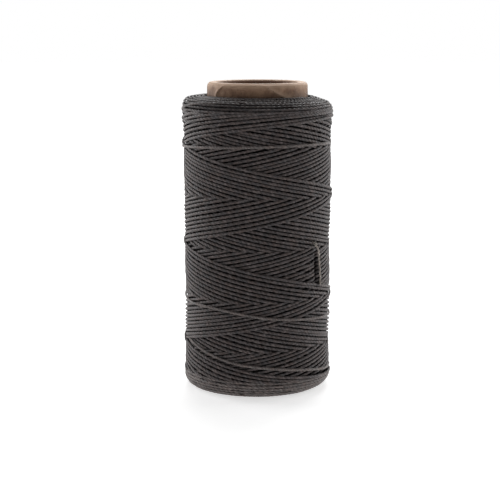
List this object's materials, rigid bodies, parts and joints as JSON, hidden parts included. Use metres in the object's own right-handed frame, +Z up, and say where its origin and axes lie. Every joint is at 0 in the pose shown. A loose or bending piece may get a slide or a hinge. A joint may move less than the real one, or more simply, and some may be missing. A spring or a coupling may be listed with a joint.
{
  "type": "waxed thread spool",
  "caption": "Cross-wound package of dark waxed leather-sewing thread on a kraft paper tube, with a loose end tucked under the turns.",
  "frame": {"origin": "centre of the tube's lower rim, on which the spool stands", "axes": "+Z up along the tube's bore, -Y towards the front, where the loose end lies to the right"},
  "size_m": [0.0478, 0.0478, 0.099],
  "materials": {
    "liner_paper": "matte brown paper",
    "core_board": "matte grey-brown board",
    "kraft_paper": "smooth kraft with a slight sheen",
    "waxed_thread": "waxed, with a soft sheen",
    "wound_thread": "waxed, closely wound"
  },
  "bodies": {
    "root": {"tube_liner_ply": "liner_paper", "tube_body_plies": "core_board", "tube_outer_ply": "kraft_paper", "thread_start_end": "waxed_thread", "thread_inner_package": "wound_thread", "thread_outer_winding": "waxed_thread", "thread_tail": "waxed_thread"}
  },
  "joints": []
}
